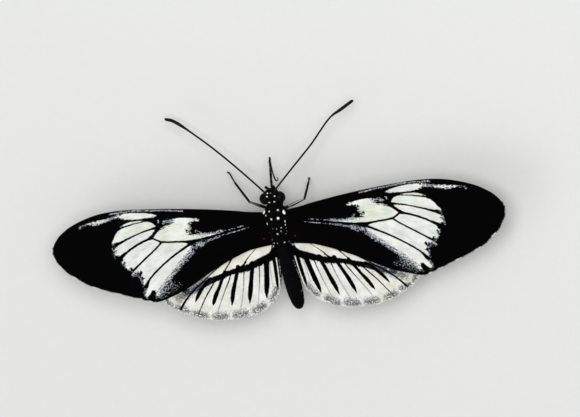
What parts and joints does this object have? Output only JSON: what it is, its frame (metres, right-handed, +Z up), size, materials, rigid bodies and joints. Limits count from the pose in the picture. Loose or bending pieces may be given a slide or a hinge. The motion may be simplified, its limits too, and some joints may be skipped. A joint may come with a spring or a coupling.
{
  "type": "black and white rayed postman butterfly",
  "caption": "Life-size still model of a black and white longwing butterfly with spread wings, unrolled tongue and long clubbed feelers, standing on its legs.",
  "frame": {"origin": "on the ground, below the middle of the bounding box, at the level of the feet", "axes": "+Z up, -Y towards the head, +X towards the animal's left wing tip"},
  "size_m": [0.078, 0.0346, 0.0086],
  "materials": {
    "body": "short black fur with white dots",
    "eye": "dark, glossy compound eye",
    "feeler": "black scaled feelers and palps",
    "forewing": "black scales with cream patches",
    "hindwing": "cream scales with black rays",
    "leg": "dark, finely scaled legs",
    "proboscis": "dark brown horn"
  },
  "bodies": {
    "root": {"head": "body", "thorax": "body", "abdomen": "body", "eye_left": "eye", "antenna_left": "feeler", "palp_left": "feeler", "forewing_left": "forewing", "hindwing_left": "hindwing", "foreleg_left": "leg", "femur_mid_left": "leg", "tibia_mid_left": "leg", "tarsus_mid_left": "leg", "femur_hind_left": "leg", "tibia_hind_left": "leg", "tarsus_hind_left": "leg", "eye_right": "eye", "antenna_right": "feeler", "palp_right": "feeler", "forewing_right": "forewing", "hindwing_right": "hindwing", "foreleg_right": "leg", "femur_mid_right": "leg", "tibia_mid_right": "leg", "tarsus_mid_right": "leg", "femur_hind_right": "leg", "tibia_hind_right": "leg", "tarsus_hind_right": "leg", "proboscis_upper": "proboscis", "proboscis_lower": "proboscis"}
  },
  "joints": []
}
